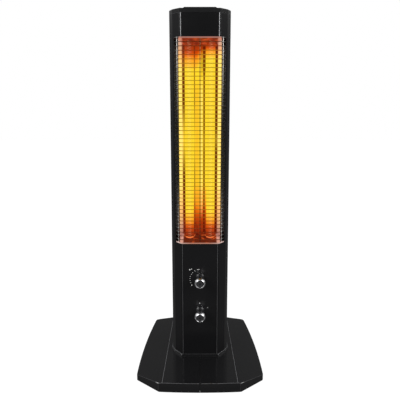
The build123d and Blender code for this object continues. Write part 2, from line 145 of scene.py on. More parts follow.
def distance_from_axis(tree, x, z, height):
    """How far a point is from an axis along Y at a given height."""
    rise = math_node(tree, "SUBTRACT", z, height)
    rise_squared = math_node(tree, "MULTIPLY", rise, rise)
    square = math_node(tree, "ADD", math_node(tree, "MULTIPLY", x, x), rise_squared)
    return math_node(tree, "SQRT", square)


def mix_colours(tree, factor, first, second):
    """Two colours mixed by a factor, each a socket or a colour."""
    node = tree.nodes.new("ShaderNodeMix")
    node.data_type = "RGBA"
    for socket, value in ((node.inputs[0], factor), (node.inputs[6], first), (node.inputs[7], second)):
        if isinstance(value, (int, float, tuple)):
            socket.default_value = value
        else:
            tree.links.new(value, socket)
    return node.outputs[2]


def object_place(tree):
    """The three coordinates of a point of the piece, in metres."""
    place = tree.nodes.new("ShaderNodeTexCoord")
    split = tree.nodes.new("ShaderNodeSeparateXYZ")
    tree.links.new(place.outputs["Object"], split.inputs[0])
    return place.outputs["Object"], split.outputs


def noise(tree, vector, scale, detail=2.0):
    """Smooth noise from 0 to 1."""
    node = tree.nodes.new("ShaderNodeTexNoise")
    node.inputs["Detail"].default_value = detail
    tree.links.new(vector, node.inputs["Vector"])
    if isinstance(scale, (int, float)):
        node.inputs["Scale"].default_value = scale
    else:
        tree.links.new(scale, node.inputs["Scale"])
    return node.outputs["Fac"]


def place_group(tree, group, **values):
    """A group node with its own values. Spaces in socket names are underscores here."""
    node = tree.nodes.new("ShaderNodeGroup")
    node.node_tree = group
    for label, value in values.items():
        node.inputs[label.replace("_", " ")].default_value = value
    return node


# ---------------------------------------------------------------- camera, floor and light

def place_camera():
    """The photograph's view: a little above the middle, looking down."""
    data = bpy.data.cameras.new("camera")
    data.lens = 45.0
    data.sensor_width = 36.0
    camera = bpy.data.objects.new("camera", data)
    camera.location = (0.0, -1.290, 0.736)
    camera.rotation_euler = (math.radians(90 - 12.5), 0, 0)
    bpy.context.scene.collection.objects.link(camera)
    bpy.context.scene.camera = camera


def softboxes(tree):
    """What polished surfaces mirror: white screens ahead and at both sides, grey between them."""
    direction = tree.nodes.new("ShaderNodeTexCoord")
    split = tree.nodes.new("ShaderNodeSeparateXYZ")
    tree.links.new(direction.outputs["Generated"], split.inputs[0])
    x, y, z = split.outputs
    away = math_node(tree, "ABSOLUTE", x)
    sideways = ramp(tree, away, 0.1167, 0.2833)
    ahead = ramp(tree, y, -0.12, -0.32)
    above_floor = ramp(tree, z, -0.025, 0.0583)
    below_top = ramp(tree, z, 0.9833, 0.8167)
    screen = product(tree, sideways, ahead, above_floor, below_top)
    wing = product(tree, ramp(tree, away, 0.4, 0.5429), ramp(tree, z, 0.1, 0.225))
    screen = math_node(tree, "MAXIMUM", screen, wing)
    behind = math_node(tree, "MULTIPLY", y, 1.4, clamp=True)
    wall = mix_colours(tree, behind, (0.03, 0.03, 0.03, 1), (0.16, 0.16, 0.16, 1))
    return mix_colours(tree, screen, wall, (1, 1, 1, 1))


def light_the_studio():
    """White for the eye, screens for what is mirrored, a soft grey for the light, and large lamps."""
    world = bpy.data.worlds.new("studio")
    bpy.context.scene.world = world
    world.use_nodes = True
    tree = world.node_tree
    tree.nodes.clear()
    path = tree.nodes.new("ShaderNodeLightPath")
    seen = math_node(tree, "MAXIMUM", path.outputs["Is Camera Ray"], path.outputs["Is Transmission Ray"])
    mirrored = mix_colours(tree, path.outputs["Is Glossy Ray"], (0.60, 0.60, 0.61, 1), softboxes(tree))
    shown = mix_colours(tree, seen, mirrored, (1, 1, 1, 1))
    background = tree.nodes.new("ShaderNodeBackground")
    output = tree.nodes.new("ShaderNodeOutputWorld")
    tree.links.new(shown, background.inputs["Color"])
    tree.links.new(background.outputs[0], output.inputs["Surface"])
    lamps = {
        "key_left": ((-1.6, -1.5, 1.7), 1.3, 30.0),
        "fill_right": ((1.7, -1.3, 1.5), 1.3, 26.0),
    }
    aim = Vector((0, 0, 0.45))
    for name, (place, width, power) in lamps.items():
        data = bpy.data.lights.new(name, "AREA")
        data.shape = "SQUARE"
        data.size = width
        data.energy = power
        lamp = bpy.data.objects.new(name, data)
        lamp.location = place
        lamp.rotation_euler = (aim - Vector(place)).to_track_quat("-Z", "Y").to_euler()
        bpy.context.scene.collection.objects.link(lamp)


# ---------------------------------------------------------------- shared effects

def make_orange_peel():
    """The fine pebbled skin of powder coat and moulded plastic."""
    group, entry, leave = new_group("orange_peel", {"Scale": 900.0, "Coarse Scale": 120.0},
                                    {"Height": "NodeSocketFloat"})
    place, _ = object_place(group)
    fine = noise(group, place, entry.outputs["Scale"])
    coarse = noise(group, place, entry.outputs["Coarse Scale"])
    height = math_node(group, "MULTIPLY_ADD", coarse, 0.6, math_node(group, "MULTIPLY", fine, 0.4))
    group.links.new(height, leave.inputs["Height"])
    return group


def make_handling_marks():
    """Uneven gloss from wiping and handling, as a roughness between two values."""
    group, entry, leave = new_group("handling_marks", {"Scale": 9.0, "Least": 0.2, "Most": 0.4},
                                    {"Roughness": "NodeSocketFloat"})
    place, _ = object_place(group)
    cloudy = noise(group, place, entry.outputs["Scale"], detail=5.0)
    spread = group.nodes.new("ShaderNodeMapRange")
    spread.inputs["From Min"].default_value = 0.35
    spread.inputs["From Max"].default_value = 0.65
    group.links.new(cloudy, spread.inputs["Value"])
    group.links.new(entry.outputs["Least"], spread.inputs["To Min"])
    group.links.new(entry.outputs["Most"], spread.inputs["To Max"])
    group.links.new(spread.outputs[0], leave.inputs["Roughness"])
    return group


def make_heat_glow():
    """The colour of the heat by height: dark red at the lamps' cool ends, then orange, then yellow."""
    group, entry, leave = new_group(
        "heat_glow",
        {"Low End": 0.350, "High End": 0.852, "Low Fade": 0.12, "Left High Fade": 0.070,
         "Right High Fade": 0.042, "Waver": 0.014},
        {"Color": "NodeSocketColor"})
    place, (x, _, z) = object_place(group)
    waver = math_node(group, "MULTIPLY", math_node(group, "SUBTRACT", noise(group, place, 28.0), 0.5),
                      entry.outputs["Waver"])
    height = math_node(group, "ADD", z, waver)
    to_right = ramp(group, x, -0.00833, 0.00833)
    fade_gain = math_node(group, "SUBTRACT", entry.outputs["Right High Fade"],
                          entry.outputs["Left High Fade"])
    high_fade = math_node(group, "MULTIPLY_ADD", to_right, fade_gain, entry.outputs["Left High Fade"])
    from_low = math_node(group, "DIVIDE", math_node(group, "SUBTRACT", height, entry.outputs["Low End"]),
                         entry.outputs["Low Fade"])
    from_high = math_node(group, "DIVIDE", math_node(group, "SUBTRACT", entry.outputs["High End"], height),
                          high_fade)
    heat = math_node(group, "MINIMUM", from_low, from_high, clamp=True)
    colours = group.nodes.new("ShaderNodeValToRGB")
    steps = {0.0: srgb(118, 34, 14), 0.2: srgb(158, 50, 12), 0.4: srgb(196, 68, 6), 0.5: srgb(226, 104, 16),
             0.62: srgb(248, 156, 32), 0.85: srgb(253, 186, 42), 1.0: srgb(254, 214, 44)}
    colours.color_ramp.elements[0].color = steps.pop(0.0)
    colours.color_ramp.elements[1].color = steps.pop(1.0)
    for position, colour in steps.items():
        colours.color_ramp.elements.new(position).color = colour
    group.links.new(heat, colours.inputs[0])
    group.links.new(colours.outputs["Color"], leave.inputs["Color"])
    return group


def make_crease_shade():
    """Dark lines along the reflector's folds. The inner right one widens towards the top."""
    group, entry, leave = new_group(
        "crease_shade",
        {"Left Fold": 0.0140, "Right Fold": 0.0105, "Outer Fold": 0.041, "Outer Width": 0.0048,
         "Left Width": 0.0018, "Right Width": 0.0026, "Flare Start": 0.765, "Flare": 0.0018},
        {"Shade": "NodeSocketFloat"})
    _, (x, _, z) = object_place(group)
    flare_height = 0.025
    left_strength = 0.75

    def line(distance, width):
        """1 along a line and 0 beyond its width, with a soft edge."""
        off = math_node(group, "ABSOLUTE", distance)
        return ramp(group, math_node(group, "DIVIDE", off, width), 1.0, 0.6429)

    away = math_node(group, "ABSOLUTE", x)
    off_outer = math_node(group, "SUBTRACT", away, entry.outputs["Outer Fold"])
    outer = line(off_outer, entry.outputs["Outer Width"])
    left = line(math_node(group, "ADD", x, entry.outputs["Left Fold"]), entry.outputs["Left Width"])
    above_start = math_node(group, "SUBTRACT", z, entry.outputs["Flare Start"])
    risen = ramp(group, above_start, 0.0, flare_height)
    wide = math_node(group, "MULTIPLY_ADD", risen, entry.outputs["Flare"], entry.outputs["Right Width"])
    right = line(math_node(group, "SUBTRACT", x, entry.outputs["Right Fold"]), wide)
    thin = math_node(group, "MULTIPLY", left, left_strength)
    shade = math_node(group, "MAXIMUM", outer, math_node(group, "MAXIMUM", thin, right))
    group.links.new(shade, leave.inputs["Shade"])
    return group


def make_turning_marks():
    """Fine rings left by a lathe, round an axis along Y through a given height."""
    group, entry, leave = new_group("turning_marks", {"Axis Height": 0.2, "Rings": 5000.0},
                                    {"Height": "NodeSocketFloat"})
    _, (x, _, z) = object_place(group)
    radius = distance_from_axis(group, x, z, entry.outputs["Axis Height"])
    rings = math_node(group, "SINE", math_node(group, "MULTIPLY", radius, entry.outputs["Rings"]))
    group.links.new(rings, leave.inputs["Height"])
    return group


orange_peel = make_orange_peel()
handling_marks = make_handling_marks()
heat_glow = make_heat_glow()
crease_shade = make_crease_shade()
turning_marks = make_turning_marks()


# ---------------------------------------------------------------- finishes

def new_finish(name, colour=(0.5, 0.5, 0.5, 1), roughness=0.5, metallic=0.0, specular=0.5):
    """A material with a Principled shader set to plain values."""
    material = bpy.data.materials.new(name)
    material.use_nodes = True
    material.diffuse_color = colour
    tree = material.node_tree
    tree.nodes.clear()
    output = tree.nodes.new("ShaderNodeOutputMaterial")
    shader = tree.nodes.new("ShaderNodeBsdfPrincipled")
    shader.inputs["Base Color"].default_value = colour
    shader.inputs["Roughness"].default_value = roughness
    shader.inputs["Metallic"].default_value = metallic
    shader.inputs["Specular IOR Level"].default_value = specular
    tree.links.new(shader.outputs[0], output.inputs["Surface"])
    return material, tree, shader


def add_bump(tree, shader, height, distance, strength=1.0):
    """Surface relief of a given depth, in metres."""
    bump = tree.nodes.new("ShaderNodeBump")
    bump.inputs["Strength"].default_value = strength
    bump.inputs["Distance"].default_value = distance
    tree.links.new(height, bump.inputs["Height"])
    tree.links.new(bump.outputs["Normal"], shader.inputs["Normal"])


def coated(name, colour, roughness, specular, peel_scale, peel_depth, metallic=0.0):
    """Paint, plastic, rubber or plated steel: a coloured skin with pebbling and uneven gloss."""
    material, tree, shader = new_finish(name, colour, metallic=metallic, specular=specular)
    marks = place_group(tree, handling_marks, Least=roughness[0], Most=roughness[1])
    tree.links.new(marks.outputs["Roughness"], shader.inputs["Roughness"])
    peel = place_group(tree, orange_peel, Scale=peel_scale, Coarse_Scale=peel_scale / 7)
    add_bump(tree, shader, peel.outputs["Height"], peel_depth)
    place, _ = object_place(tree)
    deeper = tuple(part * 0.8 for part in colour[:3]) + (1.0,)
    tone = mix_colours(tree, noise(tree, place, 14.0, detail=4.0), colour, deeper)
    tree.links.new(tone, shader.inputs["Base Color"])
    return material


def moulded_edges(name, colour, seam_colour):
    """Painted highlight on the base's edges: brightest at its front corners, dull at the seam and collar.
    """
    material = coated(name, colour, (0.2, 0.3), 0.5, 1600.0, 0.00002, 0.3)
    tree = material.node_tree
    shader = tree.nodes["Principled BSDF"]
    _, (x, y, z) = object_place(tree)
    away = math_node(tree, "ABSOLUTE", x)
    corner_x = 0.106
    seam = ramp(tree, away, 0.003, 0.0025)
    beside_column = ramp(tree, away, 0.08111, 0.08)
    before_column = ramp(tree, math_node(tree, "ABSOLUTE", y), 0.05778, 0.05667)
    collar_foot = product(tree, beside_column, before_column, ramp(tree, z, 0.03, 0.02933))
    dull = math_node(tree, "MAXIMUM", seam, collar_foot)
    at_rim = ramp(tree, z, 0.0243, 0.0248)
    at_corner = ramp(tree, distance_from(tree, away, corner_x), 0.0055, 0.003)
    corner = product(tree, at_corner, ramp(tree, y, -0.16667, -0.17), at_rim)
    upright = math_node(tree, "MULTIPLY", math_node(tree, "SUBTRACT", 1.0, at_rim), 0.75)
    dull = math_node(tree, "MAXIMUM", dull, upright)
    collar_front = product(tree, ramp(tree, away, 0.05, 0.045), ramp(tree, z, 0.0295, 0.0305), 0.7)
    dull = math_node(tree, "MAXIMUM", dull, collar_front)
    tone = shader.inputs["Base Color"].links[0].from_socket
    bright = mix_colours(tree, corner, tone, srgb(235, 235, 235))
    tree.links.new(mix_colours(tree, dull, bright, seam_colour), shader.inputs["Base Color"])
    return material


def head_edges(name, colour, plain):
    """Painted highlight on the column's edges: pale near the head, dark paint further down."""
    material = coated(name, colour, (0.3, 0.42), 0.3, 1400.0, 0.00004, 0.3)
    tree = material.node_tree
    shader = tree.nodes["Principled BSDF"]
    _, (_, _, z) = object_place(tree)
    lower = ramp(tree, z, 0.9083, 0.825)
    tone = shader.inputs["Base Color"].links[0].from_socket
    tree.links.new(mix_colours(tree, lower, tone, plain), shader.inputs["Base Color"])
    return material


def lipped_paint(name, colour, lip_colour):
    """Column paint, with a polished lip on each side of the front panels, a painted highlight near the
    head.
    """
    material = coated(name, colour, (0.30, 0.42), 0.12, 1400.0, 0.00004)
    tree = material.node_tree
    shader = tree.nodes["Principled BSDF"]
    _, (x, y, z) = object_place(tree)
    below_window = ramp(tree, z, 0.525, 0.4)
    off_middle = math_node(tree, "SUBTRACT", math_node(tree, "ABSOLUTE", x), lip_middle)
    half_width = math_node(tree, "MULTIPLY_ADD", below_window, lip_half_width * -0.3, lip_half_width)
    share = math_node(tree, "DIVIDE", off_middle, half_width)
    within = math_node(tree, "SUBTRACT", 1.0, math_node(tree, "MULTIPLY", share, share), clamp=True)
    at_front = ramp(tree, y, panel_front + 0.0003, panel_front - 0.0002)
    lip = math_node(tree, "MULTIPLY", math_node(tree, "MULTIPLY", within, 6.0, clamp=True), at_front)
    tone = shader.inputs["Base Color"].links[0].from_socket
    # The lip's colour: a painted highlight near the head, dimmer and narrower below the window.
    trim_with_painted_highlight = mix_colours(tree, below_window, lip_colour, srgb(135, 135, 137))
    tree.links.new(mix_colours(tree, lip, tone, trim_with_painted_highlight), shader.inputs["Base Color"])
    tree.links.new(math_node(tree, "MULTIPLY", lip, 0.9), shader.inputs["Metallic"])
    bead = tree.nodes.new("ShaderNodeBump")
    bead.inputs["Distance"].default_value = lip_half_width * 0.55
    tree.links.new(math_node(tree, "MULTIPLY", within, at_front), bead.inputs["Height"])
    skin = shader.inputs["Normal"].links[0].from_node
    tree.links.new(bead.outputs["Normal"], skin.inputs["Normal"])
    return material


def painted_glow_reflector():
    """Folded sheet with the lamps' light painted on: paler on its outer walls, painted shade along its
    folds.
    """
    material, tree, shader = new_finish("painted_glow_reflector", srgb(90, 75, 55), roughness=0.3, metallic=1.0)
    heat = place_group(tree, heat_glow, Low_End=0.352, Low_Fade=0.145)
    creases = place_group(tree, crease_shade)
    place, (x, y, z) = object_place(tree)
    away = math_node(tree, "ABSOLUTE", x)
    outer = ramp(tree, away, trough_edge, 0.0445)
    inner = math_node(tree, "SUBTRACT", 1.0, outer)
    near_foot = ramp(tree, z, foot_glow_top, 0.36154)
    above_foot = ramp(tree, z, 0.4, 0.45)
    below_top = ramp(tree, z, 0.768, 0.728)
    near_top = ramp(tree, z, 0.76, 0.79333)

    # The outer walls: painted light, cream in the middle of their height and pinker towards both ends.
    cooler = ramp(tree, distance_from(tree, z, 0.61), 0.20455, 0.25)
    cream = mix_colours(tree, cooler, srgb(255, 230, 150), srgb(240, 206, 196))
    paleness = math_node(tree, "MULTIPLY", outer, math_node(tree, "MULTIPLY_ADD", near_foot, -0.32, 0.55))
    pale = mix_colours(tree, paleness, heat.outputs["Color"], cream)

    # The ridge: a painted highlight on its right face, painted shade at its top, painted amber on its left
    # face.
    right_face = ramp(tree, distance_from(tree, x, 0.0042), 0.002833, 0.001167)
    painted_ridge_highlight = product(tree, right_face, below_top, above_foot, 0.35)
    pale = mix_colours(tree, painted_ridge_highlight, pale, srgb(255, 244, 165))
    left_face = ramp(tree, distance_from(tree, x, -0.0075), 0.006, 0.0035)
    painted_ridge_amber = product(tree, left_face, below_top, above_foot, 0.4)
    pale = mix_colours(tree, painted_ridge_amber, pale, srgb(240, 150, 24))
    pale = mix_colours(tree, product(tree, right_face, near_top, 0.45), pale, srgb(92, 20, 5))

    # Patches of painted shade near the foot, between the outer walls.
    foot_shade_patches = ramp(tree, noise(tree, place, 75.0, detail=3.0), 0.44, 0.64)
    pale = mix_colours(tree, product(tree, near_foot, foot_shade_patches, inner), pale, srgb(104, 18, 4))

    # The folds: painted shade, dark towards both ends, faint and patchy between, and darker on the right.
    off_middle = distance_from(tree, z, 0.61)
    nearer_end = math_node(tree, "MULTIPLY_ADD", off_middle, 9.0, 0.18, clamp=True)
    patchy = math_node(tree, "MULTIPLY_ADD", noise(tree, place, 11.0), 1.4, 0.3, clamp=True)
    to_right = ramp(tree, x, 0.0025, 0.0075)
    depth = math_node(tree, "MULTIPLY_ADD", to_right, 0.6,
                      math_node(tree, "MULTIPLY", nearer_end, patchy), clamp=True)
    shade = math_node(tree, "MULTIPLY", creases.outputs["Shade"], depth)
    dark = mix_colours(tree, shade, pale, srgb(84, 14, 2))

    # Only the side that faces the lamps carries the painted light.
    wall = math_node(tree, "MULTIPLY_ADD", y, -wall_lean, wall_foot)
    inner_side = ramp(tree, math_node(tree, "SUBTRACT", away, wall), 0.00045, 0.0004)
    lit = mix_colours(tree, inner_side, (0, 0, 0, 1), dark)
    tree.links.new(lit, shader.inputs["Emission Color"])
    shader.inputs["Emission Strength"].default_value = 1.0
    return material


def painted_glow_end_plate(name, dark, bright, side, share):
    """A plate round the lamps' ends: painted light, red between the reflector's walls, bare beside them."""
    material, tree, shader = new_finish(name, srgb(70, 62, 58), roughness=0.35, metallic=1.0)
    place, (x, _, _) = object_place(tree)
    patches = noise(tree, place, 70.0, detail=5.0)
    contrast = math_node(tree, "MULTIPLY_ADD", patches, 4.0, share - 2.0, clamp=True)
    away = math_node(tree, "ABSOLUTE", x)
    outer = ramp(tree, away, trough_edge, 0.04533)
    glow = mix_colours(tree, outer, mix_colours(tree, contrast, dark, bright), side)
    within = ramp(tree, away, 0.0535, 0.051)
    lit = mix_colours(tree, within, (0, 0, 0, 1), glow)
    tree.links.new(lit, shader.inputs["Emission Color"])
    shader.inputs["Emission Strength"].default_value = 0.9
    return material


def painted_glow_eyelet():
    """A bare rolled edge with a painted orange highlight, strongest on the side towards the window."""
    material, tree, shader = new_finish("painted_glow_eyelet", srgb(120, 90, 70), roughness=0.35, metallic=1.0)
    place, (_, y, _) = object_place(tree)
    nearer = ramp(tree, y, -0.014286, -0.028571)
    patches = ramp(tree, noise(tree, place, 90.0), 0.0, 0.5)
    glow = mix_colours(tree, product(tree, nearer, patches), srgb(110, 26, 8), srgb(255, 122, 56))
    tree.links.new(glow, shader.inputs["Emission Color"])
    shader.inputs["Emission Strength"].default_value = 1.0
    return material


lamp_heat = {"Waver": 0.008, "Low_End": 0.350, "Low_Fade": 0.075}


def hot_quartz():
    """A clear tube full of the filament's light."""
    material, tree, shader = new_finish("hot_quartz", srgb(40, 28, 14), roughness=0.4, specular=0.15)
    heat = place_group(tree, heat_glow, **lamp_heat)
    tree.links.new(heat.outputs["Color"], shader.inputs["Emission Color"])
    shader.inputs["Emission Strength"].default_value = 1.0
    shader.inputs["Alpha"].default_value = 0.6
    return material


def hot_filament():
    """Glowing carbon, near white where it is hottest."""
    material, tree, shader = new_finish("hot_filament", srgb(40, 20, 10), roughness=0.6)
    heat = place_group(tree, heat_glow, **lamp_heat)
    white_hot = mix_colours(tree, 0.35, heat.outputs["Color"], srgb(255, 246, 190))
    tree.links.new(white_hot, shader.inputs["Emission Color"])
    shader.inputs["Emission Strength"].default_value = 1.4
    return material


def guard_metal():
    """Nickel-plated wire: painted highlights at the sides, tinted brown with painted glow across the lamps.
    """
    material, tree, shader = new_finish("guard_metal", metallic=1.0)
    marks = place_group(tree, handling_marks, Scale=40.0, Least=0.22, Most=0.42)
    tree.links.new(marks.outputs["Roughness"], shader.inputs["Roughness"])
    heat = place_group(tree, heat_glow)
    _, (x, _, z) = object_place(tree)
    away = math_node(tree, "ABSOLUTE", x)
    lit = ramp(tree, away, 0.053636, 0.044545)
    # Painted highlight on the side uprights and near both ends, painted shade on the side wires in between.
    from_ends = math_node(tree, "MINIMUM", ramp(tree, z, 0.8, 0.65714), ramp(tree, z, 0.4, 0.5))
    upright = ramp(tree, distance_from(tree, away, guard_side_wire().x), 0.002444, 0.001333)
    painted_upright_highlight = mix_colours(tree, upright, srgb(74, 73, 71), srgb(196, 194, 190))
    bare = mix_colours(tree, from_ends, painted_upright_highlight, srgb(60, 59, 57))
    skin = mix_colours(tree, lit, bare, srgb(78, 64, 44))
    tree.links.new(skin, shader.inputs["Base Color"])
    # Painted glow: the lamps' light as emission where the wires cross them, dimmed most on the middle
    # upright.
    hot = mix_colours(tree, lit, (0, 0, 0, 1), heat.outputs["Color"])
    middle = ramp(tree, away, 0.002, 0.001167)
    dimmed = mix_colours(tree, math_node(tree, "MULTIPLY_ADD", middle, 0.3, 0.62), hot, (0, 0, 0, 1))
    # Painted highlights along both rails.
    low_rail = ramp(tree, z, guard_low.z + 0.0035, guard_low.z + 0.003)
    high_rail = ramp(tree, z, guard_high.z - 0.0035, guard_high.z - 0.003)
    front = ramp(tree, away, 0.05175, 0.0505)
    towards_corner = ramp(tree, away, 0.025, 0.05)
    painted_rail_highlight = mix_colours(tree, towards_corner, srgb(176, 122, 104), srgb(186, 156, 148))
    glow = mix_colours(tree, low_rail, dimmed, painted_rail_highlight)
    glow = mix_colours(tree, math_node(tree, "MULTIPLY", high_rail, front), glow, srgb(160, 112, 104))
    tree.links.new(glow, shader.inputs["Emission Color"])
    shader.inputs["Emission Strength"].default_value = 1.0
    return material


def turned_chrome(name, axis_height):
    """Polished chrome with faint lathe rings round a knob's axis."""
    material, tree, shader = new_finish(name, srgb(222, 222, 224), roughness=0.2, metallic=1.0)
    rings = place_group(tree, turning_marks, Axis_Height=axis_height)
    add_bump(tree, shader, rings.outputs["Height"], 0.000004)
    return material


def dished_face(name, axis_height):
    """The dark face of a knob: a paler ring, with painted dark reflection inside and painted shade outside
    it.
    """
    material = coated(name, srgb(60, 60, 62), (0.3, 0.45), 0.5, 2500.0, 0.00001, 0.3)
    tree = material.node_tree
    shader = tree.nodes["Principled BSDF"]
    _, (x, _, z) = object_place(tree)
    ring_radius = 0.0052
    radius = distance_from_axis(tree, x, z, axis_height)
    # Painted dark reflection at the middle and painted shade in the outer groove.
    ring = ramp(tree, distance_from(tree, radius, ring_radius), 0.002857, 0.001429)
    tone = shader.inputs["Base Color"].links[0].from_socket
    tree.links.new(mix_colours(tree, ring, srgb(30, 30, 31), tone), shader.inputs["Base Color"])
    return material


def dial_print():
    """Pale screen-printed ink."""
    return coated("dial_print", srgb(225, 225, 222), (0.5, 0.65), 0.3, 3000.0, 0.00001)


def plain_floor():
    """A pale floor that shows white to the eye and still takes the object's shadow."""
    material, tree, shader = new_finish("plain_floor", (0.16, 0.16, 0.16, 1), roughness=0.9, specular=0.0)
    place, _ = object_place(tree)
    tone = mix_colours(tree, noise(tree, place, 3.0), (0.17, 0.17, 0.17, 1), (0.15, 0.15, 0.15, 1))
    tree.links.new(tone, shader.inputs["Base Color"])
    path = tree.nodes.new("ShaderNodeLightPath")
    seen = math_node(tree, "MAXIMUM", path.outputs["Is Camera Ray"], path.outputs["Is Transmission Ray"])
    mirrored = mix_colours(tree, path.outputs["Is Glossy Ray"], (0, 0, 0, 1), (0.02, 0.02, 0.02, 1))
    glow = mix_colours(tree, seen, mirrored, (0.93, 0.93, 0.93, 1))
    tree.links.new(glow, shader.inputs["Emission Color"])
    shader.inputs["Emission Strength"].default_value = 1.0
    return material


finishes = {
    "column_paint": lipped_paint("column_paint", srgb(24, 24, 25), srgb(190, 190, 192)),
    "panel_paint": coated("panel_paint", srgb(23, 23, 24), (0.16, 0.26), 0.2, 1800.0, 0.00003),
    "back_paint": coated("back_paint", srgb(27, 27, 28), (0.34, 0.46), 0.25, 1400.0, 0.00006),
    "base_plastic": coated("base_plastic", srgb(24, 24, 25), (0.10, 0.20), 0.4, 1000.0, 0.00002),
    "cap_plastic": coated("cap_plastic", srgb(26, 26, 27), (0.28, 0.40), 0.2, 1600.0, 0.00005),
    "column_edges": head_edges("column_edges", srgb(110, 110, 112), srgb(14, 14, 15)),
    "base_edges": moulded_edges("base_edges", srgb(124, 124, 126), srgb(26, 26, 27)),
    "ballast_steel": coated("ballast_steel", srgb(62, 62, 64), (0.5, 0.7), 0.4, 500.0, 0.0002, 0.6),
    "zinc_steel": coated("zinc_steel", srgb(190, 190, 186), (0.25, 0.45), 0.5, 700.0, 0.00004, 1.0),
    "foot_rubber": coated("foot_rubber", srgb(30, 30, 30), (0.7, 0.9), 0.2, 1500.0, 0.0001),
    "lamp_ceramic": coated("lamp_ceramic", srgb(226, 220, 205), (0.6, 0.8), 0.3, 1800.0, 0.00012),
    "shaft_brass": coated("shaft_brass", srgb(205, 170, 100), (0.25, 0.4), 0.5, 900.0, 0.00003, 1.0),
    "control_plastic": coated("control_plastic", srgb(44, 44, 46), (0.4, 0.6), 0.35, 1300.0, 0.00006),
    "terminal_plastic": coated("terminal_plastic", srgb(222, 220, 210), (0.45, 0.6), 0.4, 1300.0, 0.00005),
    "gland_plastic": coated("gland_plastic", srgb(34, 34, 34), (0.4, 0.55), 0.35, 1400.0, 0.00006),
    "painted_glow_reflector": painted_glow_reflector(),
    # Both end plates carry the lamps' light painted on as emission.
    "hot_lower_end": painted_glow_end_plate(
        "hot_lower_end", srgb(88, 22, 10), srgb(236, 96, 36), srgb(222, 160, 140), -0.2),
    "hot_upper_end": painted_glow_end_plate(
        "hot_upper_end", srgb(112, 34, 20), srgb(196, 74, 36), srgb(200, 130, 110), 0.4),
    "painted_glow_eyelet": painted_glow_eyelet(),
    "hot_quartz": hot_quartz(),
    "hot_filament": hot_filament(),
    "guard_metal": guard_metal(),
    "dial_print": dial_print(),
    "plain_floor": plain_floor(),
}


# ---------------------------------------------------------------- mesh helpers

def new_piece(name, form, materials, body=None, smooth_below=35.0):
    """An object from a bmesh: smooth, but with sharp edges where its faces meet at a large angle."""
    bmesh.ops.recalc_face_normals(form, faces=form.faces)
    limit = math.radians(smooth_below)
    for face in form.faces:
        face.smooth = True
    for edge in form.edges:
        edge.smooth = len(edge.link_faces) == 2 and edge.calc_face_angle(0.0) < limit
    mesh = bpy.data.meshes.new(name)
    form.to_mesh(mesh)
    form.free()
    for material in materials:
        mesh.materials.append(material)
    piece = bpy.data.objects.new(name, mesh)
    bpy.context.scene.collection.objects.link(piece)
    if body:
        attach(piece, body)
    return piece


def rounded_route(points, bend, steps=5):
    """A route through points whose inner corners are turned in a smooth curve."""
    route = [points[0]]
    for before, corner, after in zip(points, points[1:], points[2:]):
        start = corner + (before - corner).normalized() * bend
        end = corner + (after - corner).normalized() * bend
        for step in range(steps + 1):
            share = step / steps
            route.append(start.lerp(corner, share).lerp(corner.lerp(end, share), share))
    route.append(points[-1])
    return route


def add_wire(form, route, radius, sides=wire_sides, up=Vector((0, 0, 1)), tall=None):
    """A round wire, or an oval strip where tall is given, along a route, closed at both ends."""
    rings = []
    for index, point in enumerate(route):
        ahead = route[min(index + 1, len(route) - 1)]
        behind = route[max(index - 1, 0)]
        along = (ahead - behind).normalized()
        across = along.cross(up).normalized()
        lift = across.cross(along)
        ring = []
        for side in range(sides):
            angle = 2 * math.pi * (side + 0.5) / sides
            offset = across * math.cos(angle) * radius + lift * math.sin(angle) * (tall or radius)
            ring.append(form.verts.new(point + offset))
        rings.append(ring)
    for low, high in zip(rings, rings[1:]):
        for side in range(sides):
            following = (side + 1) % sides
            form.faces.new((low[side], low[following], high[following], high[side]))
    form.faces.new(rings[0])
    form.faces.new(rings[-1])


def add_turned(form, profile, place, segments=knob_segments):
    """A closed profile of (radius, distance towards -Y) turned round an axis along Y."""
    rings = []
    for radius, reach in profile:
        if radius == 0:
            rings.append([form.verts.new(place + Vector((0, -reach, 0)))])
            continue
        rings.append([
            form.verts.new(place + Vector((
                radius * math.cos(2 * math.pi * step / segments), -reach,
                radius * math.sin(2 * math.pi * step / segments))))
            for step in range(segments)])
    faces = []
    for first, second in zip(rings, rings[1:]):
        for step in range(segments):
            following = (step + 1) % segments
            if len(first) == 1:
                corners = (first[0], second[step], second[following])
            elif len(second) == 1:
                corners = (first[step], first[following], second[0])
            else:
                corners = (first[step], first[following], second[following], second[step])
            faces.append(form.faces.new(corners))
    return faces


def curve(start, bend, end, steps):
    """Points on a smooth curve of a profile, drawn towards a bend point between its ends."""
    first, middle, last = Vector(start), Vector(bend), Vector(end)
    points = []
    for step in range(steps + 1):
        share = step / steps
        points.append(tuple(first.lerp(middle, share).lerp(middle.lerp(last, share), share)))
    return points


# ---------------------------------------------------------------- wire guard

def make_wire_guard():
    """Round wires bent along the column, welded to upright wires, between two bent rails."""
    form = bmesh.new()
    front = guard_low.y + wire_radius
    edge_x = guard_high.x - wire_radius
    back = guard_high.y - wire_radius
    corner_x = column_front_half

    def route(height):
        points = [Vector((-edge_x, back, height)), Vector((-corner_x, front, height)),
                  Vector((corner_x, front, height)), Vector((edge_x, back, height))]
        return rounded_route(points, wire_bend)

    rails = (guard_low.z + rail_half_height, guard_high.z - rail_half_height)
    for height in rails:
        add_wire(form, route(height), wire_radius, tall=rail_half_height)
    first = (rails[0] + rails[1] - (wire_count - 1) * wire_pitch) / 2
    for number in range(wire_count):
        add_wire(form, route(first + number * wire_pitch), wire_radius)
    side = guard_side_wire()
    uprights = [Vector((0, front + wires_apart, 0)), side, Vector((-side.x, side.y, 0))]
    for foot in uprights:
        low = Vector((foot.x, foot.y, guard_low.z))
        high = Vector((foot.x, foot.y, guard_high.z))
        add_wire(form, [low, high], wire_radius, up=Vector((0, 1, 0)))
    guard = new_piece("guard_basket", form, [finishes["guard_metal"]], "heater", 50.0)
    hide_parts("wire_guard")


# ---------------------------------------------------------------- lamps

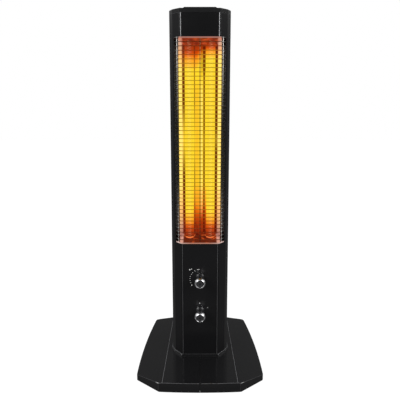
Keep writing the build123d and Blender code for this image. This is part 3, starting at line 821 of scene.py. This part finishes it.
def make_filament(side):
    """A coiled carbon strand with a lead at each end."""
    low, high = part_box(f"{side}_lamp_tube")
    axis = Vector(((low.x + high.x) / 2, (low.y + high.y) / 2, 0))
    coil_radius, pitch, strand, steps = 0.0036, 0.0062, 0.0009, 12
    margin = 0.012
    turns = int((high.z - low.z - 2 * margin) / pitch)
    route = []
    for step in range(turns * steps + 1):
        angle = 2 * math.pi * step / steps
        route.append(axis + Vector((coil_radius * math.cos(angle), coil_radius * math.sin(angle),
                                    low.z + margin + pitch * step / steps)))
    form = bmesh.new()
    add_wire(form, route, strand, sides=6)
    for end, tip in ((low.z, route[0]), (high.z, route[-1])):
        lead = [Vector((axis.x, axis.y, end)), Vector((axis.x, axis.y, (end + tip.z) / 2)), tip]
        add_wire(form, lead, strand * 0.8, sides=6, up=Vector((0, 1, 0)))
    coil = new_piece(f"{side}_carbon_coil", form, [finishes["hot_filament"]], "heater")
    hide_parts(f"{side}_filament")


def make_eyelets():
    """Rolled collars round the two lamp holes of the lower reflector end."""
    form = bmesh.new()
    front_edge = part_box("lower_reflector_end")[0].y
    front_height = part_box("reflector")[0].z
    for side in ("left", "right"):
        low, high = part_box(f"{side}_lamp_tube")
        middle = Vector(((low.x + high.x) / 2, (low.y + high.y) / 2, 0))
        route = []
        for step in range(eyelet_steps + 1):
            angle = 2 * math.pi * step / eyelet_steps
            y = middle.y + eyelet_radius * math.sin(angle)
            height = front_height + (y - front_edge) * end_plate_climb
            route.append(Vector((middle.x + eyelet_radius * math.cos(angle), y, height)))
        add_wire(form, route, eyelet_wire, sides=8)
    new_piece("lamp_hole_collars", form, [finishes["painted_glow_eyelet"]], "heater")


# ---------------------------------------------------------------- knobs

def make_knob(control):
    """A turned knob: a foot swept into a slim neck, and a flared head round a dark dished face."""
    low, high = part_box(f"{control}_knob")
    height = (low.z + high.z) / 2
    place = Vector((0, panel_front, height))
    near = panel_front - high.y
    reach = panel_front - low.y
    head = (high.z - low.z) / 2
    foot, neck, lip = 0.0125, 0.0099, 0.0108
    foot_end, flare_start, widest = near + 0.0120, reach - 0.015, reach - 0.008
    profile = [(0.0031, near + 0.003), (0.0086, near + 0.003), (0.0086, near), (foot - 0.0003, near)]
    profile += [(foot, near + 0.0003), (foot, near + 0.0008)]
    profile += curve((foot, near + 0.0008), (neck + 0.0003, near + 0.0075), (neck, foot_end + 0.002), 6)
    profile += curve((neck, flare_start - 0.002), (neck + 0.0004, flare_start + 0.0022),
                     (head - 0.0006, widest - 0.0012), 7)
    profile += curve((head - 0.0003, widest - 0.0008), (head + 0.0001, widest),
                     (head - 0.0002, widest + 0.0009), 4)
    profile += curve((head - 0.0004, widest + 0.0016), (head - 0.0009, reach - 0.0022), (lip, reach), 8)
    face_start = len(profile) + 3
    profile += [(lip - 0.0006, reach), (lip - 0.0012, reach - 0.0006), (lip - 0.0015, reach - 0.0014)]
    profile += [(0.0072, reach - 0.0015), (0.0069, reach - 0.0018), (0.0030, reach - 0.0018)]
    profile += [(0.0028, reach - 0.0015), (0, reach - 0.0014)]
    form = bmesh.new()
    faces = add_turned(form, profile, place)
    for index, face in enumerate(faces):
        face.material_index = 1 if index // knob_segments >= face_start - 1 else 0
    rim = [edge for edge in form.edges if edge.is_boundary]
    bmesh.ops.edgeloop_fill(form, edges=rim)
    metals = [turned_chrome(f"{control}_chrome", height), dished_face(f"{control}_face", height)]
    knob = new_piece(f"{control}_turned_knob", form, metals, control, 28.0)
    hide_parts(f"{control}_knob")


# ---------------------------------------------------------------- dial marks

def add_print(form, outline):
    """A thin raised print on the control panel, from its outline in X and Z."""
    face = form.faces.new([form.verts.new((x, panel_front, z)) for x, z in outline])
    raised = bmesh.ops.extrude_face_region(form, geom=[face])
    moved = [item for item in raised["geom"] if isinstance(item, bmesh.types.BMVert)]
    bmesh.ops.translate(form, verts=moved, vec=(0, -print_thickness, 0))


def dash(centre, angle, distance, length, width):
    """The outline of a dash at a distance from a centre, across the ray at an angle from the top."""
    ray = Vector((-math.sin(math.radians(angle)), math.cos(math.radians(angle))))
    side = Vector((ray.y, -ray.x))
    middle = Vector(centre) + ray * distance
    return [middle + side * sx * length / 2 + ray * sy * width / 2
            for sx, sy in ((-1, -1), (1, -1), (1, 1), (-1, 1))]


def disc(centre, radius, sides=20):
    """The outline of a round dot."""
    return [Vector(centre) + Vector((math.cos(2 * math.pi * step / sides),
                                     math.sin(2 * math.pi * step / sides))) * radius
            for step in range(sides)]


def make_dial_marks():
    """A scale of dashes left of the upper knob, and marks above and right of the lower one."""
    form = bmesh.new()
    scale_drop = 0.0032
    upper = (0.0, joint_places["thermostat"].z - scale_drop)
    add_print(form, dash(upper, 9.9, 0.0273, 0.0062, 0.0013))
    for angle in (30, 45.3, 58.7, 73.1, 85.8, 98.4, 111.8):
        add_print(form, dash(upper, angle, 0.0265, 0.0009, 0.0024))
    low_end = math.radians(127.4)
    spot = Vector(upper) + Vector((-math.sin(low_end), math.cos(low_end))) * 0.0275
    add_print(form, disc(spot, 0.0015))
    corner = Vector(upper) + Vector((-0.0246, 0.0268))
    add_print(form, disc(corner + Vector((-0.0022, -0.0006)), 0.0018))
    wedge = ((0.001, 0.0004), (0.0042, 0.0004), (0.0026, 0.0032))
    add_print(form, [corner + Vector(point) for point in wedge])
    lower = (0.0, joint_places["power_switch"].z)
    add_print(form, disc(Vector(lower) + Vector((-0.0010, 0.0226)), 0.0012))
    add_print(form, dash(lower, -63, 0.0228, 0.0010, 0.0020))
    new_piece("dial_marks", form, [finishes["dial_print"]], "heater")


# ---------------------------------------------------------------- carried-over nodes

def dress(node, finish, bevel=0.0, painted_edge_light=None, least_angle=9):
    """Gives a CAD node its finish, and rounds its sharp edges a little; an edge finish paints a highlight
    on them.
    """
    piece = nodes[node]
    piece.data.materials.clear()
    piece.data.materials.append(finishes[finish])
    if painted_edge_light:
        piece.data.materials.append(finishes[painted_edge_light])
    if bevel:
        joining = piece.modifiers.new("edge_joining", "WELD")
        joining.merge_threshold = 0.00001
        flats = piece.modifiers.new("flat_faces", "DECIMATE")
        flats.decimate_type = "DISSOLVE"
        flats.angle_limit = math.radians(0.5)
        rounding = piece.modifiers.new("edge_rounding", "BEVEL")
        rounding.width = bevel
        rounding.segments = 2
        rounding.limit_method = "ANGLE"
        rounding.angle_limit = math.radians(least_angle)
        if painted_edge_light:
            rounding.material = 1


def dress_everything():
    """Finishes for the nodes that are shown as they are."""
    for side in ("left", "right"):
        dress(f"base_{side}_half", "base_plastic", 0.0005, "base_edges", 6)
        dress(f"column_{side}_side", "column_paint", 0.0006, "column_edges")
        dress(f"{side}_lamp_tube", "hot_quartz")
    dress("control_panel", "panel_paint", 0.0003)
    dress("head_panel", "panel_paint", 0.0003)
    dress("back_panel", "back_paint", 0.0003)
    dress("top_cap", "cap_plastic", 0.0004)
    dress("ballast_plate", "ballast_steel", 0.0005)
    dress("rubber_feet", "foot_rubber", 0.0008)
    dress("reflector", "painted_glow_reflector")
    for end in ("lower", "upper"):
        dress(f"{end}_reflector_end", f"hot_{end}_end")
        dress(f"{end}_lamp_holder", "zinc_steel")
    for node in ("base_screws", "foot_bracket", "heat_shield", "thermal_cutout"):
        dress(node, "zinc_steel", 0.0002)
    for control in ("thermostat", "power_switch"):
        dress(f"{control}_body", "control_plastic", 0.0004)
        dress(f"{control}_nut", "zinc_steel", 0.0002)
        dress(f"{control}_shaft", "shaft_brass")
    dress("lamp_end_caps", "lamp_ceramic", 0.0004)
    dress("tip_over_switch", "control_plastic", 0.0004)
    dress("terminal_block", "terminal_plastic", 0.0003)
    dress("cable_gland", "gland_plastic", 0.0003)
    dress("gland_locknut", "gland_plastic", 0.0003)


def lay_floor():
    """The studio floor."""
    form = bmesh.new()
    bmesh.ops.create_grid(form, x_segments=1, y_segments=1, size=6.0)
    floor = new_piece("studio_floor", form, [finishes["plain_floor"]])


place_camera()
light_the_studio()
lay_floor()
dress_everything()
make_wire_guard()
for side in ("left", "right"):
    make_filament(side)
make_eyelets()
for control in ("thermostat", "power_switch"):
    make_knob(control)
make_dial_marks()

bpy.context.scene.view_settings.view_transform = "Standard"
